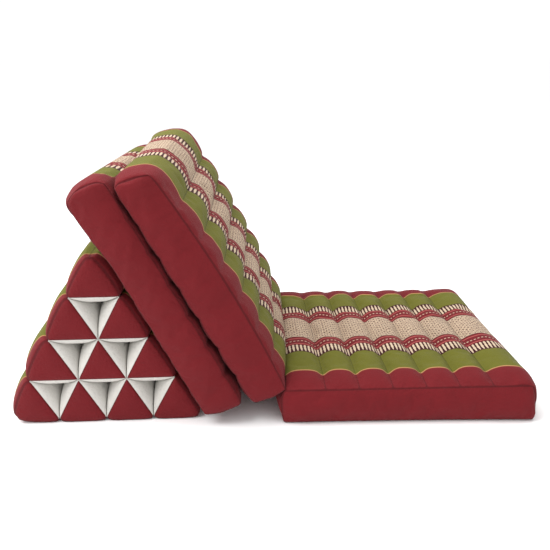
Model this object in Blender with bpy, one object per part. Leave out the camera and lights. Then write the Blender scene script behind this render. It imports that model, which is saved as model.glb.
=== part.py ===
"""Thai triangle cushion: a stuffed wedge and three channelled mats that fold out of it.

Metres, +Z up, X along the cushion from the wedge to the seat, Y across it. Each mat is made flat in
its own frame: x along its length, y across its width, z from its plain back to its patterned face.
"""

from math import atan2, radians, sqrt, tau

import bmesh
import bpy
from mathutils import Matrix, Vector

# Sizes shared by the three mats
MAT_WIDTH = 0.500
CHANNELS = 7
SIDE_ROUND = 0.045
SIDE_PUFF = 0.009
PANEL_TOP = 0.030
PANEL_LOW = 0.011
PANEL_END = 0.012
WALL_CREST = 0.052
HINGE_SLOPE = 1.45
SEAM_LOW = 0.0015
SEAM_CORNER = ((-0.016, 1.0), (-0.007, 0.99), (-0.002, 0.72), (0.0, 0.46), (0.002, 0.22))
CLEAR = 0.0003

# A stuffed channel between two seams: where its points lie, how square and how full it is
ARCH_STEPS = (0.0, 0.06, 0.20, 0.50, 0.80, 0.94)
ARCH_CORNER = 2.4
ARCH_FULLNESS = 0.62

# One row for each mat.
#   round_at     the rounded end; the other end is drawn to the edge where the next piece is sewn on
#   length       from end to end at the plain back
#   hinge_first  length of the channel at the sewn end, round_last of the one at the rounded end
#   seam         height of the side seams, pinch of the seams across, crown of the channels above them
#   edge         height of the sewn edge
#   back_hinge   puff of the plain back at the sewn end, back_round at the rounded end
#   thick        share of the full thickness at the sewn end and at the rounded end
#   shear        how far the patterned face has slid along the back, as a share of the height
#   hinge_puff   puff of the sewn end
#   round_end    the rounded end below its channel: how far beyond the length, and the share of height
#   sewn_point   the x and z, in the mat's own frame, of the point that is laid on its place
#   at           x and z of that place, turn the mat's angle about Y in degrees
MATS = (
    dict(name="seat_mat", round_at="finish", length=0.503, hinge_first=0.079, round_last=0.086,
         seam=0.075, pinch=0.079, crown=0.015, edge=0.0815, back_hinge=0.0, back_round=0.0,
         thick=(1.0, 1.0), shear=0.0, hinge_puff=0.017,
         round_end=((-0.012, 0.97), (0.003, 0.87), (0.012, 0.70), (0.015, 0.46), (0.010, 0.22)),
         sewn_point=(0.0, 0.0), at=(-0.0225, 0.0), turn=0.0),
    dict(name="back_mat", round_at="start", length=0.506, hinge_first=0.069, round_last=0.081,
         seam=0.078, pinch=0.092, crown=0.017, edge=0.0775, back_hinge=0.0077, back_round=0.0006,
         thick=(0.95, 1.02), shear=0.08, hinge_puff=0.013,
         round_end=((-0.015, 0.95), (-0.001, 0.84), (0.008, 0.64), (0.014, 0.36), (0.014, 0.12)),
         sewn_point=(0.5119, 0.0736), at=(-0.0230, 0.0820), turn=90 - 28.7),
    dict(name="support_mat", round_at="finish", length=0.4955, hinge_first=0.070, round_last=0.076,
         seam=0.078, pinch=0.0775, crown=0.010, edge=0.0775, back_hinge=0.0077, back_round=0.0006,
         thick=(1.0, 0.94), shear=0.19, hinge_puff=0.015,
         round_end=((-0.018, 0.95), (-0.007, 0.84), (0.003, 0.64), (0.011, 0.36), (0.014, 0.12)),
         sewn_point=(0.4955, 0.0), at=(-0.3345, 0.4954), turn=-90 - 26.5),
)

# The wedge is a lattice of triangular cells. Every second cell is a stuffed tube, the rest are open.
WEDGE_ROWS = 4
WEDGE_BASE = 0.382
WEDGE_HEIGHT = 0.352
WEDGE_LENGTH = 0.440
WEDGE_MIDDLE = -0.390
WEDGE_FOOT = 0.011
BLUNT = 0.008
OPEN_PUFF = 0.0190
OUTER_PUFF = 0.0230
BOTTOM_PUFF = 0.0200
LEAN_PUFFS = (0.0241, 0.0188, 0.0136, 0.0114)
MOUTH_DEPTH = 0.060
MOUTH_OUTER = 0.35
MOUTH_BOTTOM = 0.50
CAP_PUFF = 0.006
CAP_INSET = 0.5
WALL_STEPS = (0.0, 0.05, 0.16, 0.33, 0.50, 0.67, 0.84, 0.95)

RED = ("red_cotton", (0.200, 0.018, 0.024, 1.0))
PATTERN = ("patterned_cotton", (0.330, 0.060, 0.045, 1.0))


def material(kind):
    """A plain cotton finish with its own colour."""
    name, colour = kind
    made = bpy.data.materials.get(name) or bpy.data.materials.new(name)
    made.use_nodes = True
    shader = made.node_tree.nodes["Principled BSDF"]
    shader.inputs["Base Color"].default_value = colour
    shader.inputs["Roughness"].default_value = 0.85
    shader.inputs["Metallic"].default_value = 0.0
    return made


def mix(a, b, share):
    return a + (b - a) * share


def arch(t):
    """Height of a stuffed channel, 0 at its two seams and 1 half-way."""
    return max(0.0, 1.0 - abs(2.0 * t - 1.0) ** ARCH_CORNER) ** ARCH_FULLNESS


def quarter(distance, radius):
    """Height, from 0 to 1, of a quarter circle that starts upright."""
    left = max(0.0, 1.0 - distance / radius)
    return sqrt(1.0 - left * left)


def ring_solid(name, rings, kind, place=Matrix.Identity(4)):
    """A drum with one ring of points for each outline, moved to that outline, as a placed object."""
    count = len(rings[0][1])
    low = -(len(rings) - 1) / 2
    bm = bmesh.new()
    bmesh.ops.create_cone(bm, cap_ends=True, cap_tris=False, segments=count,
                          radius1=1.0, radius2=1.0, depth=-2 * low)
    for k in range(1, len(rings) - 1):
        bmesh.ops.bisect_plane(bm, geom=bm.verts[:] + bm.edges[:] + bm.faces[:],
                               plane_co=(0, 0, low + k), plane_no=(0, 0, 1))
    for vert in bm.verts:
        y, outline = rings[round(vert.co.z - low)]
        x, z = outline[round(atan2(vert.co.x, vert.co.y) / tau * count) % count]
        vert.co = (x, y, z)
    bmesh.ops.recalc_face_normals(bm, faces=bm.faces[:])
    if bm.calc_volume(signed=True) < 0:
        bmesh.ops.reverse_faces(bm, faces=bm.faces[:])
    mesh = bpy.data.meshes.new(name)
    bm.to_mesh(mesh)
    bm.free()
    mesh.materials.append(material(kind))
    mesh.shade_smooth()
    made = bpy.data.objects.new(name, mesh)
    made.matrix_world = place
    PARTS.objects.link(made)


# Mats


def channel_edges(mat):
    """The x of each seam across a mat, from the sewn end, with both ends."""
    inner = (mat["length"] - mat["hinge_first"] - mat["round_last"]) / (CHANNELS - 2)
    seams = [mat["hinge_first"] + inner * k for k in range(CHANNELS - 1)]
    return [0.0] + seams + [mat["length"]]


def mat_outline(mat, reach):
    """The section of a mat as (x, z) points. reach is 0 at the side seam and 1 inside the mat."""
    edges = channel_edges(mat)
    length, seam = mat["length"], mat["seam"]
    crest = mat["pinch"] + mat["crown"]
    points = []

    def add(full_x, full_z, seam_x, seam_z):
        points.append((mix(seam_x, full_x, reach), mix(seam_z, full_z, reach)))

    for k in range(CHANNELS):
        for t in ARCH_STEPS:
            if k == CHANNELS - 1 and t > 0.5:
                continue
            x = mix(edges[k], edges[k + 1], t)
            low = mix(mat["edge"], mat["pinch"], t) if k == 0 else mat["pinch"]
            high = mix(low, crest, arch(t))
            if k == 0:
                high = min(high, mat["edge"] + HINGE_SLOPE * x)
            add(x, high, max(x, 0.003), seam)
    for (beyond, share), (seam_x, seam_z) in zip(mat["round_end"], SEAM_CORNER):
        add(length + beyond, share * crest, length + seam_x, min(seam, seam_z * seam))
    for k in reversed(range(CHANNELS)):
        for t in (1.0, 0.5):
            x = mix(edges[k], edges[k + 1], t)
            back = mix(mat["back_hinge"], mat["back_round"], x / length)
            add(x, -back * arch(t), min(x, length - 0.002), SEAM_LOW - back * (0.45 + 0.4 * arch(t)))
    puff = mat["hinge_puff"]
    add(-0.1 * puff, 0.004, 0.004, SEAM_LOW)
    add(-0.8 * puff, 0.024, -0.5 * puff, 0.022)
    add(-puff, WALL_CREST, -0.6 * puff, 0.050)
    return points


def placed_outline(mat, outline):
    """The outline at its real thickness, seen from the mat's own start and slid by its shear."""
    turned = mat["round_at"] == "start"
    thick = [(x, z * mix(*mat["thick"], x / mat["length"])) for x, z in outline]
    flat = [(mat["length"] - x if turned else x, z) for x, z in thick]
    return [(x + mat["shear"] * z, z) for x, z in flat]


def side_panel(mat, outline, share):
    """The side seam's outline, drawn in to the fullest part of the plain side panel."""
    end = share * PANEL_END
    low, high = share * PANEL_LOW, mat["seam"] - share * PANEL_TOP
    drawn = []
    for x, z in outline:
        inside = max(x, end + 0.1 * max(x, 0.0))
        drawn.append((min(inside, mat["length"] - end), mix(low, high, z / mat["seam"])))
    return drawn


def make_mat(mat):
    seam = mat_outline(mat, 0.0)
    near = [(-SIDE_PUFF, side_panel(mat, seam, 0.72)), (-0.65 * SIDE_PUFF, side_panel(mat, seam, 0.30)),
            (0.0, seam)]
    near += [(y, mat_outline(mat, quarter(y, SIDE_ROUND))) for y in (0.005, 0.017, SIDE_ROUND)]
    rings = near + [(MAT_WIDTH - y, outline) for y, outline in reversed(near)]
    rings = [(y, placed_outline(mat, outline)) for y, outline in rings]
    turn = Matrix.Rotation(radians(mat["turn"]), 4, "Y")
    sewn_x, sewn_z = mat["sewn_point"]
    x, z = mat["at"]
    place = Matrix.Translation((x, 0, z)) @ turn @ Matrix.Translation((-sewn_x, 0, -sewn_z))
    ring_solid(mat["name"], rings, PATTERN, place)


# Wedge


def lattice(row, column):
    """A corner of the wedge's cells, row 0 being the apex. The wedge's own corners are blunt."""
    step = WEDGE_BASE / WEDGE_ROWS
    corner = Vector((WEDGE_MIDDLE + (column - row / 2) * step,
                     WEDGE_FOOT + WEDGE_HEIGHT * (1 - row / WEDGE_ROWS)))
    if row == 0 or (row == WEDGE_ROWS and column in (0, row)):
        centre = Vector((WEDGE_MIDDLE, WEDGE_FOOT + WEDGE_HEIGHT / 3))
        corner += (centre - corner).normalized() * BLUNT
    return corner


def incentre(a, b, c):
    """The centre of the circle that touches all three sides of a triangle."""
    sides = ((b - c).length, (c - a).length, (a - b).length)
    return (a * sides[0] + b * sides[1] + c * sides[2]) / sum(sides)


def wall_line(start, end, puff, meeting=None):
    """A tube's wall from corner to corner, puffed out to the right of its direction.

    meeting is the middle of the open cell on that side, where three such walls come together: the
    wall stays on its own side of the lines from its corners to that point."""
    along = end - start
    length = along.length
    unit = along / length
    out = Vector((unit.y, -unit.x))
    points = []
    for t in WALL_STEPS:
        rise = puff * sqrt(arch(t))
        if meeting is not None:
            foot, deep = (meeting - start).dot(unit), (meeting - start).dot(out)
            room = deep * min(t * length / foot, (1 - t) * length / (length - foot))
            rise = min(rise, room - CLEAR)
        points.append(start + along * t + out * max(rise, 0.0))
    return points


def tube_ring(row, column, fullness):
    """The section of one stuffed tube as (x, z) points, from its top corner down its left wall."""
    top, left, right = lattice(row, column), lattice(row + 1, column), lattice(row + 1, column + 1)
    middle = (top + left + right) / 3
    corners = [corner + (middle - corner).normalized() * CLEAR for corner in (top, left, right)]
    outer = mix(MOUTH_OUTER, 1.0, fullness)
    if column == 0:
        walls = [(OUTER_PUFF * outer, None)]
    else:
        walls = [(OPEN_PUFF * fullness, incentre(lattice(row, column - 1), top, left))]
    if row == WEDGE_ROWS - 1:
        walls.append((BOTTOM_PUFF * mix(MOUTH_BOTTOM, 1.0, fullness), None))
    else:
        walls.append((OPEN_PUFF * fullness, incentre(left, right, lattice(row + 2, column + 1))))
    if column == row:
        walls.append((LEAN_PUFFS[row] * outer, None))
    else:
        walls.append((OPEN_PUFF * fullness, incentre(top, lattice(row, column + 1), right)))
    points = []
    for k, (puff, meeting) in enumerate(walls):
        points += wall_line(corners[k], corners[(k + 1) % 3], puff, meeting)
    return [(p.x, max(p.y, 0.0)) for p in points]


def make_tube(row, column):
    start = (MAT_WIDTH - WEDGE_LENGTH) / 2
    mouth = tube_ring(row, column, 0.0)
    middle_x = sum(x for x, _ in mouth) / len(mouth)
    middle_z = sum(z for _, z in mouth) / len(mouth)
    cap = [(mix(x, middle_x, CAP_INSET), mix(z, middle_z, CAP_INSET)) for x, z in mouth]
    near = [(start - CAP_PUFF, cap), (start, mouth)]
    near += [(start + depth, tube_ring(row, column, quarter(depth, MOUTH_DEPTH)))
             for depth in (0.004, 0.014, 0.034, MOUTH_DEPTH)]
    rings = near + [(MAT_WIDTH - y, outline) for y, outline in reversed(near)]
    ring_solid(f"wedge_tube_{row + 1}_{column + 1}", rings, RED)


def stand_on_origin():
    """Moves the whole cushion so that the middle of its box, at the floor, is the origin."""
    points = [made.matrix_world @ vert.co for made in PARTS.objects for vert in made.data.vertices]
    low = [min(point[k] for point in points) for k in range(3)]
    high = [max(point[k] for point in points) for k in range(3)]
    shift = Vector((-(low[0] + high[0]) / 2, -(low[1] + high[1]) / 2, -low[2]))
    for made in PARTS.objects:
        made.location += shift


def main():
    for mat in MATS:
        make_mat(mat)
    for row in range(WEDGE_ROWS):
        for column in range(row + 1):
            make_tube(row, column)
    stand_on_origin()


for old in list(bpy.data.objects):
    bpy.data.objects.remove(old)
PARTS = bpy.data.collections.new("thai_triangle_cushion")
bpy.context.scene.collection.children.link(PARTS)
main()
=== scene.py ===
"""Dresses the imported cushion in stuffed, woven cotton, and sets its camera, floor and light."""

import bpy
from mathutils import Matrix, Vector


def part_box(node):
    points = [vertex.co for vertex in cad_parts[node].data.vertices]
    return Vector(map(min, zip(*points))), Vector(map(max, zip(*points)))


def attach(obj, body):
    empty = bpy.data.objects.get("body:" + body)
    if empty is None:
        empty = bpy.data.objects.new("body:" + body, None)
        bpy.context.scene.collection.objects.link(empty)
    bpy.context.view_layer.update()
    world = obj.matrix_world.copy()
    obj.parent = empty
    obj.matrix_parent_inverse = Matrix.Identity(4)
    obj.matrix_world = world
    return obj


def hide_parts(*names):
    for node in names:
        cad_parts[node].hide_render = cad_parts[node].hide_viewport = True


bl_info = {
    "name": "Triangle cushion",
    "version": (1, 0, 0),
    "blender": (4, 5, 0),
    "location": "3D View > Sidebar > Cushion",
    "description": "Makes the stuffed mats and the wedge round the packed frame",
    "category": "Add Mesh",
}

from math import atan2, cos, pi, radians, sin, sqrt, tau

import bmesh
import bpy
import numpy as np
from bpy.props import FloatProperty, FloatVectorProperty, PointerProperty
from mathutils import Matrix, Vector, noise

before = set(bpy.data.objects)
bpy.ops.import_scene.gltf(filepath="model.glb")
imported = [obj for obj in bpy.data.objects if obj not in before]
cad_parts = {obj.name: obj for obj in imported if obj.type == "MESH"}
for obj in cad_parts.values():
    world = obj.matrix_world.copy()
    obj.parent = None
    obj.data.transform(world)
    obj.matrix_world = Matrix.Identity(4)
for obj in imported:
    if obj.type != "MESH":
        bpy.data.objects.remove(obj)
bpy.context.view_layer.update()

# Sizes shared by the three mats
MAT_WIDTH = 0.500
CHANNELS = 7
SIDE_ROUND = 0.045
SIDE_PUFF = 0.009
WALL_CREST = 0.052
HINGE_SLOPE = 1.45
SEAM_CORNER = ((-0.016, 1.0), (-0.007, 0.99), (-0.002, 0.72), (0.0, 0.46), (0.002, 0.22))
SOFT_CORNER = ((-0.034, 1.0), (-0.014, 0.93), (-0.002, 0.72), (0.002, 0.46), (0.003, 0.22))
CLEAR = 0.0003

# A stuffed channel between two seams: how square and how full it is
ARCH_CORNER = 2.4
ARCH_FULLNESS = 0.62

# One row for each mat, with the sizes that its solid has.
#   round_at     the rounded end; the other end is drawn to the edge where the next piece is sewn on
#   length       from end to end at the plain back
#   hinge_first  length of the channel at the sewn end, round_last of the one at the rounded end
#   seam         height of the side seams, pinch of the seams across, crown of the channels above them
#   edge         height of the sewn edge
#   back_hinge   puff of the plain back at the sewn end, back_round at the rounded end
#   thick        share of the full thickness at the sewn end and at the rounded end
#   belly        what is added to that share half-way, full_end what is added near the rounded end
#   far          thickness at the far side as a share of that at the near side
#   shear        how far the patterned face has slid along the back, as a share of the height
#   hinge_puff   puff of the sewn end
#   round_end    the rounded end below its channel: how far beyond the length, and the share of height
#   seam_low     height of the lower side seam, and how much more it has where a channel ends
#   fades        how far from the near and the far side seam the channels reach their full crown
#   stitch_from  how far from the side seam the stitches across the mat begin
#   wider        what is added to the width
#   slew         how much nearer the rounded end is than the sewn one, skew how much further its near
#                corner reaches than its far one
#   flare        how far the underside has spread at the rounded end
#   twist        how far the far top corner has turned to the right
#   corner       the side seam round the rounded end: how far beyond the length, and the share of height
#   sewn_point   the x and z, in the mat's own frame, of the point that is laid on its place
#   at           x and z of that place, turn the mat's angle about Y in degrees
MATS = (
    dict(name="seat_mat", round_at="finish", length=0.503, hinge_first=0.079, round_last=0.086,
         seam=0.075, pinch=0.079, crown=0.015, edge=0.0815, back_hinge=0.0, back_round=0.0,
         thick=(1.0, 1.0), belly=0.0, far=1.05, full_end=0.0, shear=0.0, hinge_puff=0.017,
         round_end=((-0.014, 0.97), (0.001, 0.87), (0.010, 0.70), (0.013, 0.46), (0.008, 0.22)),
         seam_low=(0.0015, 0.0), fades=(0.060, 0.060), stitch_from=0.0,
         wider=0.012, slew=0.010, skew=0.010, flare=0.010, twist=0.0, corner=SEAM_CORNER,
         sewn_point=(0.0, 0.0), at=(-0.0225, 0.0), turn=0.0),
    dict(name="back_mat", round_at="start", length=0.506, hinge_first=0.069, round_last=0.081,
         seam=0.083, pinch=0.0905, crown=0.0125, edge=0.0846, back_hinge=0.0077, back_round=0.0006,
         thick=(0.87, 0.86), belly=0.135, far=1.09, full_end=0.0, shear=0.08, hinge_puff=0.013,
         round_end=((-0.015, 0.95), (-0.001, 0.84), (0.008, 0.64), (0.014, 0.36), (0.014, 0.12)),
         seam_low=(0.0035, 0.0028), fades=(0.160, 0.055), stitch_from=0.050,
         wider=0.0, slew=0.0, skew=-0.012, flare=0.0, twist=0.017, corner=SEAM_CORNER,
         sewn_point=(0.5119, 0.0736), at=(-0.0230, 0.0820), turn=90 - 28.7),
    dict(name="support_mat", round_at="finish", length=0.4955, hinge_first=0.070, round_last=0.076,
         seam=0.078, pinch=0.0775, crown=0.010, edge=0.0775, back_hinge=0.0077, back_round=0.0006,
         thick=(1.0, 0.94), belly=0.0, far=1.0, full_end=0.13, shear=0.17, hinge_puff=0.015,
         round_end=((-0.013, 0.98), (-0.003, 0.88), (0.006, 0.64), (0.012, 0.36), (0.014, 0.12)),
         seam_low=(0.0035, 0.0028), fades=(0.080, 0.060), stitch_from=0.050,
         wider=0.0, slew=0.0, skew=0.018, flare=0.0, twist=0.017, corner=SOFT_CORNER,
         sewn_point=(0.4955, 0.0), at=(-0.3345, 0.4954), turn=-90 - 26.5),
)

# The wedge: a lattice of triangular cells, every second one a stuffed tube
WEDGE_ROWS = 4
WEDGE_BASE = 0.382
WEDGE_HEIGHT = 0.354
WEDGE_LENGTH = 0.440
WEDGE_MIDDLE = -0.390
WEDGE_FOOT = 0.009
BLUNT = dict(apex=0.008, left=0.013, right=0.002)
OPEN_PUFF = 0.0235
OUTER_PUFFS = (0.0215, 0.0245, 0.0305, 0.0265)
BOTTOM_PUFF = 0.0200
LEAN_PUFFS = (0.0241, 0.0188, 0.0151, 0.0114)
MOUTH_DEPTH = 0.060
MOUTH_OUTER = 0.35
MOUTH_BOTTOM = 0.50
CAP_PUFF = 0.006

# How finely the cloth is divided
CHANNEL_CELLS = 12
END_CELLS = 12
WALL_CELLS = 14
ROUND_CELLS = 8
ACROSS_CELLS = 60
TUBE_WALL_CELLS = 18
TUBE_MOUTH_CELLS = 10
TUBE_LONG_CELLS = 26
CAP_RINGS = (0.10, 0.28, 0.50, 0.74, 0.96)

# The frame's origin, seen from the table above, whose x starts at the fold of the seat
SEAT = MATS[0]
SHIFT = Vector((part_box("seat_mat")[0].x - SEAT["at"][0] + SEAT["hinge_puff"], -MAT_WIDTH / 2, 0.0))

# The camera that took the photograph
CAMERA_AT = Vector((-0.1035, -1.1011, 0.7322))
CAMERA_DOWN = 20.36
CAMERA_RIGHT = 3.08
CAMERA_ROLL = 0.21
CAMERA_FOCUS = 630.5
PHOTO_SIDE = 550
SENSOR = 36.0


def mix(a, b, share):
    return a + (b - a) * share


def linear(*shades):
    """A colour in Blender's linear values from its eight-bit screen values."""
    return tuple((s / 255 / 12.92) if s <= 10 else ((s / 255 + 0.055) / 1.055) ** 2.4 for s in shades)


def colour_property(name, text, *shades):
    return FloatVectorProperty(name=name, description=text, subtype="COLOR", size=3, min=0.0, max=1.0,
                               default=linear(*shades))


def length_property(name, text, value):
    return FloatProperty(name=name, description=text, default=value, min=0.0, unit="LENGTH", precision=4)


class CushionColours(bpy.types.PropertyGroup):
    red: colour_property("Red", "Border, side panels and plain backs", 109, 22, 28)
    maroon: colour_property("Maroon", "Ground of the tooth band", 54, 9, 14)
    band: colour_property("Band red", "The narrow bands beside the centre", 106, 22, 28)
    pink: colour_property("Pink", "Thin lines in the narrow bands", 182, 92, 86)
    green: colour_property("Green", "The two wide plain stripes", 98, 97, 28)
    gold: colour_property("Gold", "Thin line between green and border", 184, 138, 92)
    cream: colour_property("Cream", "Centre stripe and teeth", 200, 178, 152)
    brown: colour_property("Brown", "Small figures of the centre stripe", 84, 44, 40)
    white: colour_property("White", "Lining of the open channels", 206, 203, 197)


class CushionSizes(bpy.types.PropertyGroup):
    thread: length_property("Thread", "Pitch of the cotton weave", 0.0011)
    tooth: length_property("Tooth", "Pitch of the woven teeth", 0.0086)
    figure: length_property("Figure", "Pitch of the small figures in the centre stripe", 0.0125)
    pattern_middle: length_property("Pattern middle", "From the near seam to the pattern's centre", 0.243)


def smooth_line(points, count):
    """count + 1 points at even distances along a smooth curve through the given ones."""
    ends = [points[0], *points, points[-1]]
    fine = []
    for k in range(len(points) - 1):
        a, b, c, d = (Vector(p) for p in ends[k:k + 4])
        for n in range(12):
            t = n / 12
            fine.append(b + (c - a) * (t / 2) + (a * 2 - b * 5 + c * 4 - d) * (t * t / 2)
                        + (b * 3 - a - c * 3 + d) * (t ** 3 / 2))
    fine.append(Vector(points[-1]))
    run = np.cumsum([0.0] + [(q - p).length for p, q in zip(fine, fine[1:])])
    wanted = np.linspace(0.0, run[-1], count + 1)
    lines = [np.interp(wanted, run, [p[axis] for p in fine]) for axis in range(2)]
    return list(zip(*lines))


# Mats


def arch(t):
    """Height of a stuffed channel, 0 at its two seams and 1 half-way."""
    return max(0.0, 1.0 - abs(2.0 * t - 1.0) ** ARCH_CORNER) ** ARCH_FULLNESS


def channel_edges(mat):
    """The x of each seam across a mat, from the sewn end, with both ends."""
    inner = (mat["length"] - mat["hinge_first"] - mat["round_last"]) / (CHANNELS - 2)
    seams = [mat["hinge_first"] + inner * k for k in range(CHANNELS - 1)]
    return [0.0] + seams + [mat["length"]]


def mat_section(mat):
    """The four sides of a mat's section, each as pairs of a full point and a side seam's point.

    A third number in the face is how much of the full point's height is its channel's crown."""
    edges = channel_edges(mat)
    length, seam = mat["length"], mat["seam"]
    crest = mat["pinch"] + mat["crown"]
    face, back = [], []
    for k in range(CHANNELS):
        last = k == CHANNELS - 1
        for n in range(CHANNEL_CELLS // 2 if last else CHANNEL_CELLS):
            t = n / CHANNEL_CELLS
            x = mix(edges[k], edges[k + 1], t)
            low = mix(mat["edge"], mat["pinch"], t) if k == 0 else mat["pinch"]
            high = mix(low, crest, arch(t))
            if k == 0:
                high = min(high, mat["edge"] + HINGE_SLOPE * x)
            square = 0.3 * mat["hinge_puff"] * max(0.0, 1 - x / 0.02)
            face.append(((x, high), (x - square, seam), max(high - low, 0.0)))
            back.append((x, t))
    middle = mix(edges[-2], edges[-1], 0.5)
    corner = 3
    beyond = [(length + x, share * crest) for x, share in mat["round_end"]]
    full = smooth_line([(middle, crest), *beyond[:corner]], END_CELLS)
    side = [(length + x, z * seam) for x, z in mat["corner"]]
    seam_end = [(mix(middle, side[1][0], n / END_CELLS), mix(seam, side[1][1], (n / END_CELLS) ** 4))
                for n in range(END_CELLS + 1)]
    face += [(point, side, mat["crown"] * (1 - n / END_CELLS) ** 2)
             for n, (point, side) in enumerate(zip(full, seam_end))]
    back += [(mix(middle, length, n / END_CELLS), mix(0.5, 1.0, n / END_CELLS))
             for n in range(END_CELLS + 1)]
    low, notch = mat["seam_low"]
    under = []
    for x, t in back:
        puff = mix(mat["back_hinge"], mat["back_round"], x / length)
        square = 0.3 * mat["hinge_puff"] * max(0.0, 1 - x / 0.02)
        seam_z = low - puff * (0.45 + 0.4 * arch(t)) + notch * (1 - arch(t))
        under.append(((x, -puff * arch(t)), (min(x - square, length - 0.002), seam_z)))
    low_full, low_seam = under[-1]
    end = list(zip(smooth_line([low_full, *reversed(beyond[corner - 1:])], WALL_CELLS),
                   smooth_line([low_seam, *reversed(side[1:])], WALL_CELLS)))
    puff = mat["hinge_puff"]
    full = [(0.0, 0.0), (-0.1 * puff, 0.004), (-0.8 * puff, 0.024), (-puff, WALL_CREST),
            (0.0, mat["edge"])]
    side = [(-0.3 * puff, under[0][1][1]), (-0.45 * puff, 0.012), (-0.55 * puff, 0.036),
            (-0.55 * puff, 0.058), (-0.3 * puff, seam)]
    hinge = list(zip(smooth_line(full, WALL_CELLS), smooth_line(side, WALL_CELLS)))
    return face, under, hinge, end


def grid_box(cells):
    """A box with unit sides, its faces cut into the given numbers of cells along X, Y and Z."""
    bm = bmesh.new()
    bmesh.ops.create_cube(bm, size=1.0)
    bmesh.ops.translate(bm, vec=(0.5, 0.5, 0.5), verts=bm.verts[:])
    for axis, count in enumerate(cells):
        along = [e for e in bm.edges if abs(e.verts[0].co[axis] - e.verts[1].co[axis]) > 0.5]
        bmesh.ops.subdivide_edges(bm, edges=along, cuts=count - 1)
    return bm


def across_stations(fades):
    """Each row of points across a mat: its y, and how full the mat and its channels are, 0 to 1."""
    stations = []
    for n in range(ROUND_CELLS):
        turn = n / ROUND_CELLS * pi / 2
        stations.append((SIDE_ROUND * (1 - cos(turn)), sin(turn)))
    middle = [(mix(SIDE_ROUND, MAT_WIDTH - SIDE_ROUND, n / ACROSS_CELLS), 1.0)
              for n in range(ACROSS_CELLS + 1)]
    stations = stations + middle + [(MAT_WIDTH - y, reach) for y, reach in reversed(stations)]
    near, far = fades
    return [(y, reach, 1 - max(0.0, 1 - y / near, 1 - (MAT_WIDTH - y) / far) ** 2)
            for y, reach in stations]


def thickness(mat, x, y):
    """The share of its full thickness that a mat has at a place."""
    share = min(1.0, max(0.0, x / mat["length"]))
    near_end = min(1.0, max(0.0, (share - 0.66) / 0.26))
    along = (mix(*mat["thick"], share) + mat["belly"] * 4 * share * (1 - share)
             + mat["full_end"] * near_end ** 2 * (3 - 2 * near_end))
    return along * mix(1.0, mat["far"], y / MAT_WIDTH)


def cloth_run(line):
    """How far along the cloth each point of a line lies."""
    steps = [sqrt((q[0] - p[0]) ** 2 + (q[1] - p[1]) ** 2) for p, q in zip(line, line[1:])]
    return [float(r) for r in np.cumsum([0.0] + steps)]


def unevenness(point, seed):
    """A slow swelling and sinking of hand-stuffed kapok, about -1 to 1."""
    return noise.noise(Vector((point[0], point[1], point[2])) * 9.0 + Vector((seed, 0, 0)))


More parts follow.
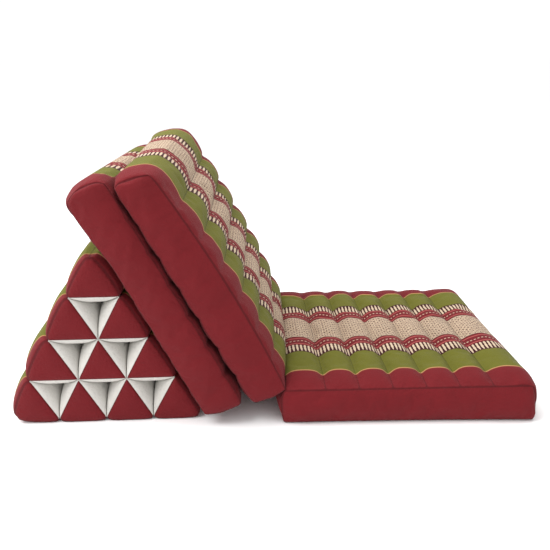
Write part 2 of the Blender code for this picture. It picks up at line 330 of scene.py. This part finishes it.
def make_mat(mat, number, finish):
    """One stuffed mat as a fine closed mesh, with its cloth's run and its seams kept for the cloth."""
    face, under, hinge, end = mat_section(mat)
    stations = across_stations(mat["fades"])
    nx, ny, nz = len(face) - 1, len(stations) - 1, WALL_CELLS
    bm = grid_box((nx, ny, nz))
    turned = mat["round_at"] == "start"
    seams = channel_edges(mat)[1:-1]
    full_run = cloth_run([full for full, _, _ in face])
    seam_runs = [full_run[CHANNEL_CELLS * (k + 1)] for k in range(CHANNELS - 1)]
    end_run = cloth_run([full for full, _ in reversed(end)])
    under = [(full, side, 0.0) for full, side in under]
    corners = {(i, k): (under if k == 0 else face)[-1 if i else 0][1] for i in (0, nx) for k in (0, nz)}
    seam_layer = bm.verts.layers.float.new("seam")
    uv_layer = bm.loops.layers.uv.new("cloth")
    grid = {}
    sewn = []

    def side_point(i, k):
        """The gusset, drawn between the mat's side seams, and how far it is from them, 0 to 1."""
        u, w = i / nx, k / nz
        point = (Vector(under[i][1]) * (1 - w) + Vector(face[i][1]) * w
                 + Vector(hinge[k][1]) * (1 - u) + Vector(end[k][1]) * u)
        for (ci, ck), corner in corners.items():
            point -= Vector(corner) * ((u if ci else 1 - u) * (w if ck else 1 - w))
        from_end = min(i, nx - i) / nx * mat["length"]
        inside = min(1.0, from_end / 0.030)
        swell = max(0.0, 1 - abs(2 * w ** 0.80 - 1) ** 2.2) ** 0.85 * sqrt(1 - (1 - inside) ** 2)
        return point, swell

    for vert in bm.verts:
        i, j, k = (round(vert.co[axis] * count) for axis, count in enumerate((nx, ny, nz)))
        y, reach, raised = stations[j]
        beside = min(y, MAT_WIDTH - y)
        if k in (0, nz):
            full, side, rise = (face if k else under)[i]
            point = Vector(side).lerp(Vector(full) - Vector((0, rise)), reach)
            point += Vector((0, rise * raised))
            run = full_run[i] if k else full[0]
            near = min(abs(run - s) for s in (seam_runs if k else seams))
            seam = min(beside, near + max(0.0, mat["stitch_from"] - beside), run)
        elif i in (0, nx):
            full, side = (end if i else hinge)[k]
            point = Vector(side).lerp(Vector(full), reach)
            seam = beside if i else min(beside, full[1], mat["edge"] - full[1])
        else:
            point, swell = side_point(i, k)
            y += SIDE_PUFF * swell * (-1 if j == 0 else 1)
            seam = min(point.y, mat["seam"] - point.y, min(i, nx - i) / nx * mat["length"])
        x, z = point
        lift = 0.0014 * unevenness((x, y, z), 7.0 * number) * reach
        if k == nz:
            z += lift * min(1.0, seam / 0.02)
        z *= thickness(mat, x, y)
        share, across = x / mat["length"], 0.5 - y / MAT_WIDTH
        spread = mat["flare"] * max(0.0, 1 - z / mat["seam"]) * share ** 2
        x += mat["skew"] * share * across
        y += mat["slew"] * (0.5 - share) - mat["wider"] * across - spread * (2 * across) ** 9
        x = (mat["length"] - x if turned else x) + mat["shear"] * z
        vert.co = (x, y, z)
        vert[seam_layer] = max(seam, 0.0)
        grid[vert] = (i, j, k)
        if seam < 1e-4 or (k == 0 and number == 0):
            sewn.append(vert)

    for made in bm.faces:
        ijk = [grid[v] for v in made.verts]
        top = all(k == nz for _, _, k in ijk)
        tip = all(i == nx for i, _, _ in ijk)
        flank = all(j == 0 for _, j, _ in ijk) or all(j == ny for _, j, _ in ijk)
        made.material_index = 0 if (top or tip) and not flank else 1
        made.smooth = True
        for loop in made.loops:
            i, j, k = grid[loop.vert]
            y = stations[j][0]
            if top:
                loop[uv_layer].uv = (full_run[i], y)
            elif tip:
                loop[uv_layer].uv = (full_run[nx] + end_run[nz - k], y)
            elif flank:
                loop[uv_layer].uv = (i / nx * mat["length"], k / nz * mat["seam"])
            else:
                loop[uv_layer].uv = (i / nx * mat["length"] - k / nz * mat["seam"], y)
    bm.verts.index_update()
    pins = [v.index for v in sewn]
    sewn_x, sewn_z = mat["sewn_point"]
    place = (Matrix.Translation(Vector((mat["at"][0], 0, mat["at"][1])) + SHIFT)
             @ Matrix.Rotation(radians(mat["turn"]), 4, "Y") @ Matrix.Translation((-sewn_x, 0, -sewn_z)))
    bmesh.ops.transform(bm, matrix=place, verts=bm.verts[:])
    for vert in bm.verts:
        vert.co.x += mat["twist"] * (vert.co.y - SHIFT.y) / MAT_WIDTH * vert.co.z / mat["length"]
    if bm.calc_volume(signed=True) < 0:
        bmesh.ops.reverse_faces(bm, faces=bm.faces[:])
    return finished(bm, mat["name"] + "_cover", finish), pins


def finished(bm, name, finish):
    """The mesh as an object with its cloths."""
    mesh = bpy.data.meshes.new(name)
    bm.to_mesh(mesh)
    bm.free()
    for cloth in finish:
        mesh.materials.append(cloth)
    piece = bpy.data.objects.new(name, mesh)
    bpy.context.scene.collection.objects.link(piece)
    return piece


# Wedge


def lattice(row, column):
    """A corner of the wedge's cells, row 0 being the apex. The wedge's own corners are blunt."""
    step = WEDGE_BASE / WEDGE_ROWS
    corner = Vector((WEDGE_MIDDLE + (column - row / 2) * step,
                     WEDGE_FOOT + WEDGE_HEIGHT * (1 - row / WEDGE_ROWS)))
    blunt = {(0, 0): "apex", (WEDGE_ROWS, 0): "left", (WEDGE_ROWS, WEDGE_ROWS): "right"}.get((row, column))
    if blunt:
        centre = Vector((WEDGE_MIDDLE, WEDGE_FOOT + WEDGE_HEIGHT / 3))
        corner += (centre - corner).normalized() * BLUNT[blunt]
    return corner


def incentre(a, b, c):
    """The centre of the circle that touches all three sides of a triangle."""
    sides = ((b - c).length, (c - a).length, (a - b).length)
    return (a * sides[0] + b * sides[1] + c * sides[2]) / sum(sides)


def wall_line(start, end, puff, meeting=None):
    """A tube's wall from corner to corner, puffed out to the right of its direction.

    meeting is the middle of the open cell on that side, where three such walls come together."""
    along = end - start
    length = along.length
    unit = along / length
    out = Vector((unit.y, -unit.x))
    points = []
    for n in range(TUBE_WALL_CELLS):
        t = (1 - cos(n / TUBE_WALL_CELLS * pi)) / 2
        t = mix(n / TUBE_WALL_CELLS, t, 0.6)
        rise = puff * sqrt(arch(t))
        if meeting is not None:
            foot, deep = (meeting - start).dot(unit), (meeting - start).dot(out)
            room = deep * min(t * length / foot, (1 - t) * length / (length - foot))
            rise = min(rise, room - CLEAR)
        points.append(start + along * t + out * max(rise, 0.0))
    return points


def tube_ring(row, column, fullness):
    """The section of one stuffed tube as (x, z) points, from its top corner down its left wall."""
    top, left, right = lattice(row, column), lattice(row + 1, column), lattice(row + 1, column + 1)
    middle = (top + left + right) / 3
    corners = [corner + (middle - corner).normalized() * CLEAR for corner in (top, left, right)]
    outer = mix(MOUTH_OUTER, 1.0, fullness)
    if column == 0:
        walls = [(OUTER_PUFFS[row] * outer, None)]
    else:
        walls = [(OPEN_PUFF * fullness, incentre(lattice(row, column - 1), top, left))]
    if row == WEDGE_ROWS - 1:
        walls.append((BOTTOM_PUFF * mix(MOUTH_BOTTOM, 1.0, fullness), None))
    else:
        walls.append((OPEN_PUFF * fullness, incentre(left, right, lattice(row + 2, column + 1))))
    if column == row:
        walls.append((LEAN_PUFFS[row] * outer, None))
    else:
        walls.append((OPEN_PUFF * fullness, incentre(top, lattice(row, column + 1), right)))
    points = []
    for k, (puff, meeting) in enumerate(walls):
        points += wall_line(corners[k], corners[(k + 1) % 3], puff, meeting)
    return [(p.x, max(p.y, 0.0)) for p in points]


def wall_cloths(row, column):
    """Which cloth each wall of a tube has: 0 patterned, 1 red, 2 white."""
    left = 0 if column == 0 else 2
    bottom = 1 if row == WEDGE_ROWS - 1 else 2
    right = 0 if column == row else 2
    return left, bottom, right


def make_tube(row, column, finish):
    """One stuffed tube of the wedge: its end panels, and three walls of the cloth that each shows."""
    start = (MAT_WIDTH - WEDGE_LENGTH) / 2
    mouth = tube_ring(row, column, 0.0)
    middle = [sum(p[k] for p in mouth) / len(mouth) for k in range(2)]
    near = []
    for share in reversed(CAP_RINGS):
        ring = [(mix(x, middle[0], share), mix(z, middle[1], share)) for x, z in mouth]
        near.append((start - CAP_PUFF * sqrt(1 - (1 - share) ** 2), ring, share))
    near.append((start, mouth, 0.0))
    for n in range(1, TUBE_MOUTH_CELLS + 1):
        turn = n / TUBE_MOUTH_CELLS * pi / 2
        near.append((start + MOUTH_DEPTH * (1 - cos(turn)), tube_ring(row, column, sin(turn)), 0.0))
    far = [(MAT_WIDTH - y, ring, share) for y, ring, share in reversed(near)]
    depth = start + MOUTH_DEPTH
    full = near[-1][1]
    long = [(mix(depth, MAT_WIDTH - depth, n / TUBE_LONG_CELLS), full, 0.0)
            for n in range(1, TUBE_LONG_CELLS)]
    rings = near + long + far
    count = len(mouth)
    bm = bmesh.new()
    low = -(len(rings) - 1) / 2
    bmesh.ops.create_cone(bm, cap_ends=True, cap_tris=False, segments=count, radius1=1.0, radius2=1.0,
                          depth=-2 * low)
    upright = [e for e in bm.edges if abs(e.verts[0].co.z - e.verts[1].co.z) > 0.5]
    bmesh.ops.subdivide_edges(bm, edges=upright, cuts=len(rings) - 2)
    seam_layer = bm.verts.layers.float.new("seam")
    uv_layer = bm.loops.layers.uv.new("cloth")
    runs = cloth_run(full + full[:1])
    cloths = wall_cloths(row, column)
    grid = {}
    sewn = []
    first = len(CAP_RINGS)
    last = len(rings) - 1 - first
    corners = [runs[TUBE_WALL_CELLS * k] for k in range(4)]
    for vert in bm.verts:
        r = round(vert.co.z - low)
        s = round(atan2(vert.co.x, vert.co.y) / tau * count) % count
        y, ring, share = rings[r]
        x, z = ring[s]
        to_corner = min(abs(runs[s] - c) for c in corners)
        if first <= r <= last:
            seam = min(y - start, MAT_WIDTH - start - y, to_corner)
        else:
            seam = 0.02 * share
        vert.co = Vector((x, y, z)) + SHIFT
        vert[seam_layer] = max(seam, 0.0)
        grid[vert] = (s, r)
        if seam < 1e-4:
            sewn.append(vert)
    for made in bm.faces:
        found = [grid[v] for v in made.verts]
        steps = sorted({s for s, _ in found})
        rows = [r for _, r in found]
        made.smooth = True
        on_cap = max(rows) <= first or min(rows) >= last
        wraps = steps[0] == 0 and steps[-1] == count - 1
        wall = (steps[-1] if wraps else steps[0]) // TUBE_WALL_CELLS
        made.material_index = 1 if on_cap else cloths[min(wall, 2)]
        for loop in made.loops:
            s, r = grid[loop.vert]
            run = runs[count] if wraps and s == 0 else runs[s]
            if on_cap:
                loop[uv_layer].uv = (loop.vert.co.x, loop.vert.co.z)
            else:
                loop[uv_layer].uv = (run, rings[r][0])
    bm.verts.index_update()
    pins = [v.index for v in sewn]
    if bm.calc_volume(signed=True) < 0:
        bmesh.ops.reverse_faces(bm, faces=bm.faces[:])
    return finished(bm, f"tube_{row + 1}_{column + 1}_cover", finish), pins


# Cloths


class Sums:
    """Writes arithmetic as nodes of one tree."""

    def __init__(self, tree):
        self.tree = tree

    def node(self, kind, **settings):
        made = self.tree.nodes.new(kind)
        for key, value in settings.items():
            setattr(made, key, value)
        return made

    def feed(self, socket, value):
        if isinstance(value, bpy.types.NodeSocket):
            self.tree.links.new(value, socket)
        else:
            socket.default_value = value

    def math(self, operation, *values):
        made = self.node("ShaderNodeMath", operation=operation)
        for k, value in enumerate(values):
            self.feed(made.inputs[k], value)
        return made.outputs[0]

    def within(self, value, reach, soft):
        """1 where value is under reach, falling to 0 over soft."""
        made = self.node("ShaderNodeMapRange", clamp=True)
        self.feed(made.inputs["Value"], value)
        self.feed(made.inputs["From Min"], self.math("SUBTRACT", reach, soft / 2))
        self.feed(made.inputs["From Max"], self.math("ADD", reach, soft / 2))
        made.inputs["To Min"].default_value = 1.0
        made.inputs["To Max"].default_value = 0.0
        return made.outputs[0]

    def from_cell(self, value, pitch, shift=0.0):
        """Distance from the middle of a repeat, 0 to 0.5 of its pitch."""
        turned = self.math("ADD", self.math("DIVIDE", value, pitch), shift)
        return self.math("ABSOLUTE", self.math("SUBTRACT", self.math("FRACT", turned), 0.5))

    def blend(self, mask, base, over):
        made = self.node("ShaderNodeMix", data_type="RGBA")
        self.feed(made.inputs["Factor"], mask)
        self.feed(made.inputs["A"], base)
        self.feed(made.inputs["B"], over)
        return made.outputs["Result"]


def new_group(name, inputs, outputs):
    """A shader node group with named sockets, and its arithmetic."""
    group = bpy.data.node_groups.new(name, "ShaderNodeTree")
    for socket, kind in inputs:
        group.interface.new_socket(socket, in_out="INPUT", socket_type=kind)
    for socket, kind in outputs:
        group.interface.new_socket(socket, in_out="OUTPUT", socket_type=kind)
    sums = Sums(group)
    return group, sums, sums.node("NodeGroupInput").outputs, sums.node("NodeGroupOutput").inputs


def weave_group():
    """Threads that pass over and under each other, with slubs, as a height and a shade."""
    group, sums, given, out = new_group(
        "cotton_weave",
        [("Cloth", "NodeSocketVector"), ("Thread", "NodeSocketFloat")],
        [("Height", "NodeSocketFloat"), ("Shade", "NodeSocketFloat")])
    split = sums.node("ShaderNodeSeparateXYZ")
    sums.feed(split.inputs[0], given["Cloth"])
    turn = [sums.math("DIVIDE", sums.math("MULTIPLY", split.outputs[k], tau / 2), given["Thread"])
            for k in range(2)]
    waves = [sums.math("ABSOLUTE", sums.math("SINE", t)) for t in turn]
    sides = [sums.math("SIGN", sums.math("SINE", t)) for t in turn]
    over = sums.math("GREATER_THAN", sums.math("MULTIPLY", *sides), 0.0)
    height = sums.math("ADD", sums.math("MULTIPLY", over, waves[0]),
                       sums.math("MULTIPLY", sums.math("SUBTRACT", 1.0, over), waves[1]))
    slub = sums.node("ShaderNodeTexNoise", noise_dimensions="2D")
    stretch = sums.node("ShaderNodeVectorMath", operation="MULTIPLY")
    sums.feed(stretch.inputs[0], given["Cloth"])
    stretch.inputs[1].default_value = (60.0, 900.0, 1.0)
    sums.feed(slub.inputs["Vector"], stretch.outputs[0])
    slub.inputs["Scale"].default_value = 1.0
    slub.inputs["Detail"].default_value = 2.0
    sums.feed(out["Height"], height)
    sums.feed(out["Shade"], slub.outputs["Fac"])
    return group


def seam_dent_and_shade_group():
    """Cloth near its seams: the pressed line of stitches, which also carries painted shade for the seam's
    crease, and its puckers.
    """
    group, sums, given, out = new_group(
        "sewn_seam",
        [("Distance", "NodeSocketFloat"), ("Cloth", "NodeSocketVector")],
        [("Line", "NodeSocketFloat"), ("Pucker", "NodeSocketFloat")])
    line = sums.within(given["Distance"], 0.0012, 0.0016)
    near = sums.within(given["Distance"], 0.011, 0.018)
    rough = sums.node("ShaderNodeTexNoise", noise_dimensions="2D")
    sums.feed(rough.inputs["Vector"], given["Cloth"])
    rough.inputs["Scale"].default_value = 170.0
    rough.inputs["Detail"].default_value = 1.0
    sums.feed(out["Line"], line)
    sums.feed(out["Pucker"], sums.math("MULTIPLY", near, rough.outputs["Fac"]))
    return group


# The stripes of the patterned cloth, outwards from its middle line: where each starts and its colour
STRIPES = (
    (0.0000, "cream"), (0.0480, "maroon"), (0.0497, "band"), (0.0555, "pink"), (0.0575, "band"),
    (0.0805, "pink"), (0.0825, "band"), (0.0870, "maroon"), (0.1185, "green"), (0.1934, "gold"),
    (0.1957, "red"),
)
DASH_AT = 0.0690
DASH_WIDE = 0.0026
TEETH_FROM = 0.0870
TEETH_LONG = 0.0300
STRIPE_REACH = 0.26


def stripe_group(colours, sizes):
    """The woven stripes with their teeth, dashes and small figures, from the cloth's own lengths."""
    group, sums, given, out = new_group(
        "woven_stripes", [("Cloth", "NodeSocketVector")],
        [("Colour", "NodeSocketColor"), ("Raised", "NodeSocketFloat")])
    split = sums.node("ShaderNodeSeparateXYZ")
    sums.feed(split.inputs[0], given["Cloth"])
    along, across = split.outputs[0], split.outputs[1]
    out_from = sums.math("ABSOLUTE", sums.math("SUBTRACT", across, sizes.pattern_middle))
    ramp = sums.node("ShaderNodeValToRGB")
    ramp.color_ramp.interpolation = "LINEAR"
    sums.feed(ramp.inputs[0], sums.math("DIVIDE", out_from, STRIPE_REACH))
    stops = ramp.color_ramp.elements
    soft = 0.0006
    wanted = []
    for k, (start, shade) in enumerate(STRIPES):
        colour = (*getattr(colours, shade), 1.0)
        if k:
            wanted.append((start / STRIPE_REACH, before))
            wanted.append(((start + soft) / STRIPE_REACH, colour))
        else:
            wanted.append((0.0, colour))
        before = colour
    stops[0].position, stops[0].color = wanted[0]
    stops[1].position, stops[1].color = 1.0, wanted[-1][1]
    for position, colour in wanted[1:]:
        stop = stops.new(position)
        stop.color = colour
    cloth = ramp.outputs[0]
    tooth_across = sums.from_cell(along, sizes.tooth)
    tooth_down = sums.math("DIVIDE", sums.math("SUBTRACT", out_from, TEETH_FROM), TEETH_LONG)
    beads = sums.node("ShaderNodeFloatCurve")
    sums.feed(beads.inputs["Value"], tooth_down)
    curve = beads.mapping.curves[0]
    outline = ((0.0, 0.10), (0.05, 0.22), (0.18, 0.30), (0.32, 0.23), (0.48, 0.32), (0.64, 0.24),
               (0.84, 0.18), (1.0, 0.0))
    curve.points[0].location, curve.points[1].location = outline[0], outline[-1]
    for point in outline[1:-1]:
        curve.points.new(*point)
    beads.mapping.update()
    inside = sums.math("MULTIPLY", sums.math("GREATER_THAN", tooth_down, 0.0),
                       sums.math("LESS_THAN", tooth_down, 1.0))
    tooth = sums.math("MULTIPLY", sums.within(tooth_across, beads.outputs[0], 0.07), inside)
    dash = sums.math("MULTIPLY", sums.within(sums.from_cell(along, sizes.tooth, 0.5), 0.25, 0.08),
                     sums.within(sums.math("ABSOLUTE", sums.math("SUBTRACT", out_from, DASH_AT)),
                                 DASH_WIDE / 2, 0.0006))
    wander = sums.node("ShaderNodeTexNoise", noise_dimensions="2D")
    sums.feed(wander.inputs["Vector"], given["Cloth"])
    wander.inputs["Scale"].default_value = 130.0
    wander.inputs["Detail"].default_value = 1.0
    slip = sums.math("MULTIPLY", sums.math("SUBTRACT", wander.outputs["Fac"], 0.5), 0.0022)
    u, v = sums.math("ADD", along, slip), sums.math("SUBTRACT", across, slip)
    row = sizes.figure * 0.86
    lozenge = sums.math("ADD", sums.from_cell(u, sizes.figure), sums.from_cell(v, row))
    chain = sums.within(sums.math("ABSOLUTE", sums.math("SUBTRACT", lozenge, 0.5)), 0.075, 0.05)
    ring = sums.within(sums.math("ABSOLUTE", sums.math("SUBTRACT", lozenge, 0.27)), 0.050, 0.05)
    far_ring = sums.within(sums.math("ABSOLUTE", sums.math("SUBTRACT", lozenge, 0.74)), 0.050, 0.05)
    gaps = sums.node("ShaderNodeTexNoise", noise_dimensions="2D")
    sums.feed(gaps.inputs["Vector"], given["Cloth"])
    gaps.inputs["Scale"].default_value = 420.0
    gaps.inputs["Detail"].default_value = 0.0
    broken = sums.within(gaps.outputs["Fac"], 0.56, 0.06)
    dot = sums.math("MAXIMUM", sums.within(lozenge, 0.21, 0.06),
                    sums.within(sums.math("SUBTRACT", 1.0, lozenge), 0.20, 0.08))
    centre = sums.within(out_from, STRIPES[1][0] - 0.0010, 0.0006)
    rings = sums.math("MULTIPLY", sums.math("MAXIMUM", ring, far_ring), 0.62)
    lines = sums.math("MAXIMUM", chain, rings)
    faint = sums.math("MULTIPLY", sums.math("MULTIPLY", lines, broken), centre)
    strong = sums.math("MULTIPLY", dot, centre)
    cloth = sums.blend(sums.math("MULTIPLY", faint, 0.9), cloth, (*colours.brown, 1.0))
    cloth = sums.blend(sums.math("MULTIPLY", strong, 0.95), cloth, (*colours.maroon, 1.0))
    cloth = sums.blend(sums.math("MAXIMUM", tooth, dash), cloth, (*colours.cream, 1.0))
    sums.feed(out["Colour"], cloth)
    sums.feed(out["Raised"], sums.math("MAXIMUM", sums.math("MAXIMUM", tooth, dash), faint))
    return group


def cloth_material(name, colour, stripes, weave, seam_dent_and_shade, sizes, seam_depth, seam_shade, roughness):
    """Woven cotton: its colour or stripes, its threads' shade, painted shade along the pressed seams and
    the relief.
    """
    made = bpy.data.materials.new(name)
    made.use_nodes = True
    sums = Sums(made.node_tree)
    shader = made.node_tree.nodes["Principled BSDF"]
    uv = sums.node("ShaderNodeUVMap", uv_map="cloth").outputs[0]
    distance = sums.node("ShaderNodeAttribute", attribute_name="seam").outputs["Fac"]
    threads = sums.node("ShaderNodeGroup", node_tree=weave)
    sums.feed(threads.inputs["Cloth"], uv)
    threads.inputs["Thread"].default_value = sizes.thread
    seam = sums.node("ShaderNodeGroup", node_tree=seam_dent_and_shade)
    sums.feed(seam.inputs["Distance"], distance)
    sums.feed(seam.inputs["Cloth"], uv)
    raised = 0.0
    if stripes:
        woven = sums.node("ShaderNodeGroup", node_tree=stripes)
        sums.feed(woven.inputs["Cloth"], uv)
        base, raised = woven.outputs["Colour"], woven.outputs["Raised"]
    else:
        base = (*colour, 1.0)
    blotch = sums.node("ShaderNodeTexNoise")
    place = sums.node("ShaderNodeTexCoord").outputs["Object"]
    sums.feed(blotch.inputs["Vector"], place)
    blotch.inputs["Scale"].default_value = 14.0
    blotch.inputs["Detail"].default_value = 3.0
    tone = sums.math("ADD", 0.80, sums.math("MULTIPLY", blotch.outputs["Fac"], 0.24))
    slubs = sums.math("ADD", 0.91, sums.math("MULTIPLY", threads.outputs["Shade"], 0.18))
    tone = sums.math("MULTIPLY", tone, slubs)
    # Painted shade: the cloth is darkened along each seam's line, standing in for the shade that falls into
    # the sewn crease; seam_shade sets how dark
    painted_seam_shade = sums.math("MULTIPLY", seam.outputs["Line"], seam_shade)
    tone = sums.math("MULTIPLY", tone, sums.math("SUBTRACT", 1.0, painted_seam_shade))
    shade = sums.node("ShaderNodeMix", data_type="RGBA", blend_type="MULTIPLY")
    shade.inputs["Factor"].default_value = 1.0
    sums.feed(shade.inputs["A"], base)
    grey = sums.node("ShaderNodeCombineColor")
    for channel in range(3):
        sums.feed(grey.inputs[channel], tone)
    sums.feed(shade.inputs["B"], grey.outputs[0])
    sums.feed(shader.inputs["Base Color"], shade.outputs["Result"])
    height = sums.math("MULTIPLY", threads.outputs["Height"], 0.00016)
    height = sums.math("ADD", height, sums.math("MULTIPLY", raised, 0.00020))
    height = sums.math("ADD", height, sums.math("MULTIPLY", seam.outputs["Pucker"], 0.0016))
    height = sums.math("SUBTRACT", height, sums.math("MULTIPLY", seam.outputs["Line"], seam_depth))
    crease = sums.node("ShaderNodeTexNoise")
    sums.feed(crease.inputs["Vector"], place)
    crease.inputs["Scale"].default_value = 26.0
    crease.inputs["Detail"].default_value = 2.0
    crease.inputs["Distortion"].default_value = 0.6
    height = sums.math("ADD", height, sums.math("MULTIPLY", crease.outputs["Fac"], 0.0030))
    relief = sums.node("ShaderNodeBump")
    relief.inputs["Strength"].default_value = 0.9
    relief.inputs["Distance"].default_value = 1.0
    sums.feed(relief.inputs["Height"], height)
    sums.feed(shader.inputs["Normal"], relief.outputs[0])
    shader.inputs["Roughness"].default_value = roughness
    shader.inputs["Sheen Weight"].default_value = 0.03
    shader.inputs["Sheen Roughness"].default_value = 0.5
    shader.inputs["Specular IOR Level"].default_value = 0.18
    return made


def cotton():
    """The three cloths, made once: patterned, plain red and the white lining."""
    found = [bpy.data.materials.get(name) for name in ("patterned_cloth", "red_cloth", "white_cloth")]
    if all(found):
        return found
    colours, sizes = bpy.context.scene.cushion_colours, bpy.context.scene.cushion_sizes
    weave, seam_dent_and_shade = weave_group(), seam_dent_and_shade_group()
    stripes = stripe_group(colours, sizes)
    return [
        # The last three numbers of each cloth: how deep the seam line is dented, how dark the painted shade
        # along the seam is, and the roughness
        cloth_material("patterned_cloth", colours.red, stripes, weave, seam_dent_and_shade, sizes, 0.0005, 0.4, 0.80),
        cloth_material("red_cloth", colours.red, None, weave, seam_dent_and_shade, sizes, 0.0006, 0.4, 0.82),
        cloth_material("white_cloth", colours.white, None, weave, seam_dent_and_shade, sizes, 0.0000, 0.0, 0.88),
    ]


# Stuffing


def stuff(piece, pins, pressure, growth, cap, frames=20):
    """Swells the cloth between its seams with a short cloth simulation and keeps what it did, up to cap."""
    mesh = piece.data
    group = piece.vertex_groups.new(name="sewn")
    group.add(pins, 1.0, "REPLACE")
    before = np.empty(len(mesh.vertices) * 3, np.float32)
    mesh.vertices.foreach_get("co", before)
    modifier = piece.modifiers.new("stuffing", "CLOTH")
    settings = modifier.settings
    settings.quality = 5
    settings.mass = 0.25
    settings.use_pressure = True
    settings.uniform_pressure_force = pressure
    settings.shrink_min = -growth
    settings.vertex_group_mass = "sewn"
    settings.effector_weights.gravity = 0.0
    modifier.collision_settings.use_collision = False
    modifier.point_cache.frame_end = frames
    scene = bpy.context.scene
    for number in range(1, frames + 1):
        scene.frame_set(number)
    swollen = piece.evaluated_get(bpy.context.evaluated_depsgraph_get()).data
    after = np.empty_like(before)
    swollen.vertices.foreach_get("co", after)
    piece.modifiers.remove(modifier)
    scene.frame_set(1)
    move = (after - before).reshape(-1, 3)
    size = np.linalg.norm(move, axis=1, keepdims=True)
    move *= np.minimum(1.0, cap / np.maximum(size, 1e-9))
    mesh.vertices.foreach_set("co", (before.reshape(-1, 3) + move).astype(np.float32).ravel())
    mesh.update()


def dress(piece, node):
    """Gives a finished cover its last rounding and its place in the frame."""
    rounding = piece.modifiers.new("rounding", "SUBSURF")
    rounding.levels = rounding.render_levels = 1
    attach(piece, "root")
    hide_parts(node)


class CUSHION_OT_mats(bpy.types.Operator):
    """Make the three stuffed mats with their sewn channels"""

    bl_idname = "cushion.mats"
    bl_label = "Stuffed mats"

    def execute(self, context):
        patterned, red, _ = cotton()
        for number, mat in enumerate(MATS):
            piece, pins = make_mat(mat, number, (patterned, red))
            stuff(piece, pins, pressure=1.5, growth=0.012, cap=0.004)
            dress(piece, mat["name"])
        return {"FINISHED"}


class CUSHION_OT_wedge(bpy.types.Operator):
    """Make the wedge's stuffed tubes with their open, white channels"""

    bl_idname = "cushion.wedge"
    bl_label = "Wedge"

    def execute(self, context):
        finish = cotton()
        for row in range(WEDGE_ROWS):
            for column in range(row + 1):
                piece, pins = make_tube(row, column, finish)
                dress(piece, f"wedge_tube_{row + 1}_{column + 1}")
        return {"FINISHED"}


class CUSHION_OT_stage(bpy.types.Operator):
    """Set the camera, the pale floor and the soft light"""

    bl_idname = "cushion.stage"
    bl_label = "Camera, floor and light"

    def execute(self, context):
        scene = context.scene
        scene.view_settings.view_transform = "Standard"
        camera = bpy.data.objects.new("camera", bpy.data.cameras.new("camera"))
        scene.collection.objects.link(camera)
        down, right, roll = (radians(a) for a in (CAMERA_DOWN, CAMERA_RIGHT, CAMERA_ROLL))
        look = Vector((sin(right) * cos(down), cos(right) * cos(down), -sin(down)))
        side = Vector((cos(right), -sin(right), 0.0))
        up = side.cross(look)
        turned = Matrix((side, up, -look)).transposed().to_4x4()
        turned = turned @ Matrix.Rotation(-roll, 4, "Z")
        camera.matrix_world = Matrix.Translation(CAMERA_AT + SHIFT) @ turned
        camera.data.sensor_width = SENSOR
        camera.data.lens = CAMERA_FOCUS * SENSOR / PHOTO_SIDE
        scene.camera = camera
        floor_mesh = bpy.data.meshes.new("floor")
        bm = bmesh.new()
        bmesh.ops.create_grid(bm, x_segments=1, y_segments=1, size=30.0)
        bm.to_mesh(floor_mesh)
        bm.free()
        floor = bpy.data.objects.new("floor", floor_mesh)
        scene.collection.objects.link(floor)
        pale = bpy.data.materials.new("pale_floor")
        pale.use_nodes = True
        shader = pale.node_tree.nodes["Principled BSDF"]
        shader.inputs["Base Color"].default_value = (0.96, 0.96, 0.96, 1.0)
        shader.inputs["Roughness"].default_value = 0.9
        shader.inputs["Specular IOR Level"].default_value = 0.0
        floor_mesh.materials.append(pale)
        world = bpy.data.worlds.new("studio")
        scene.world = world
        world.use_nodes = True
        world.node_tree.nodes["Background"].inputs["Color"].default_value = (1.0, 1.0, 1.0, 1.0)
        world.node_tree.nodes["Background"].inputs["Strength"].default_value = 1.05
        for name, size, power, place, aim in LIGHTS:
            lamp = bpy.data.lights.new(name, "AREA")
            lamp.size = size
            lamp.energy = power
            made = bpy.data.objects.new(name, lamp)
            scene.collection.objects.link(made)
            facing = (Vector(aim) - Vector(place)).to_track_quat("-Z", "Y")
            made.matrix_world = Matrix.Translation(place) @ facing.to_matrix().to_4x4()
        return {"FINISHED"}


# Each light: its name, size, power, place and what it is aimed at
LIGHTS = (
    ("key", 1.4, 46.0, (-1.5, -0.5, 2.0), (-0.1, 0.0, 0.2)),
    ("top", 1.8, 26.0, (-0.2, 0.3, 2.4), (0.0, 0.0, 0.1)),
)


class CUSHION_PT_panel(bpy.types.Panel):
    """The cushion's colours, sizes and steps in the sidebar"""

    bl_idname = "CUSHION_PT_panel"
    bl_label = "Triangle cushion"
    bl_space_type = "VIEW_3D"
    bl_region_type = "UI"
    bl_category = "Cushion"

    def draw(self, context):
        for operator in OPERATORS:
            self.layout.operator(operator.bl_idname)
        for group in (context.scene.cushion_colours, context.scene.cushion_sizes):
            for name in group.bl_rna.properties.keys():
                if name not in ("rna_type", "name"):
                    self.layout.prop(group, name)


OPERATORS = (CUSHION_OT_stage, CUSHION_OT_mats, CUSHION_OT_wedge)
CLASSES = (CushionColours, CushionSizes, *OPERATORS, CUSHION_PT_panel)


def register():
    for made in CLASSES:
        bpy.utils.register_class(made)
    bpy.types.Scene.cushion_colours = PointerProperty(type=CushionColours)
    bpy.types.Scene.cushion_sizes = PointerProperty(type=CushionSizes)


def unregister():
    del bpy.types.Scene.cushion_sizes
    del bpy.types.Scene.cushion_colours
    for made in reversed(CLASSES):
        bpy.utils.unregister_class(made)


def main():
    register()
    bpy.ops.cushion.stage()
    bpy.ops.cushion.mats()
    bpy.ops.cushion.wedge()


if __name__ == "__main__":
    main()
